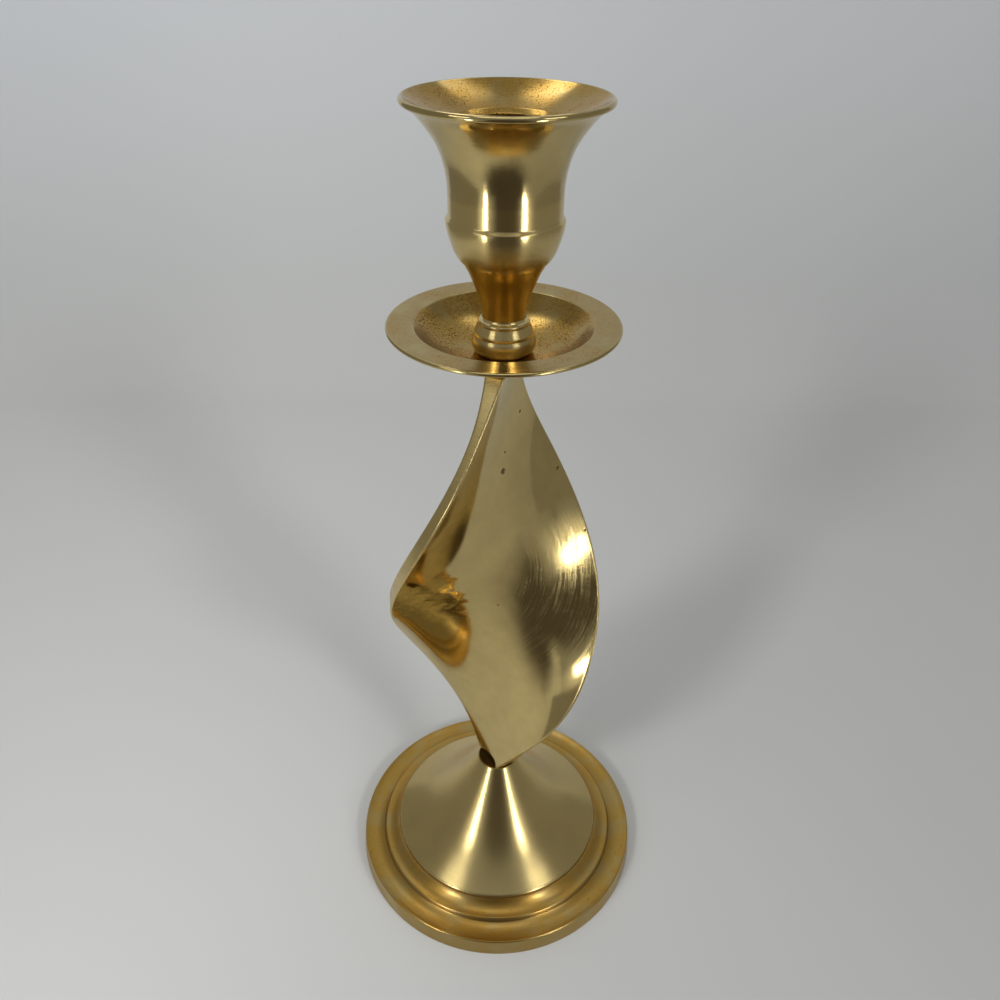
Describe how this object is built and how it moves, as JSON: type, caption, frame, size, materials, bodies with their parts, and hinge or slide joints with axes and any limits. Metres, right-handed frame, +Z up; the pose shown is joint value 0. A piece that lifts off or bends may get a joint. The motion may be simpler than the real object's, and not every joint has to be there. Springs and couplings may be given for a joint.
{
  "type": "candle holder",
  "caption": "Tall brass holder for one taper candle: stepped round base, twisted blade stem, dished drip pan and flared cup with a round socket.",
  "frame": {"origin": "centre of the circle that the base stands on", "axes": "+Z up along the candle's axis; -Y is the side that the picture shows"},
  "size_m": [0.09, 0.09, 0.234],
  "materials": {
    "polished_brass": "cast brass, polished, with fine scratches",
    "satin_brass": "turned brass, satin, slightly tarnished in the hollows",
    "zinc_steel": "zinc-plated steel"
  },
  "bodies": {
    "root": {"base": "satin_brass", "base_washer": "zinc_steel", "base_nut": "zinc_steel", "twisted_stem": "polished_brass", "drip_pan": "satin_brass", "candle_cup": "satin_brass"}
  },
  "joints": []
}
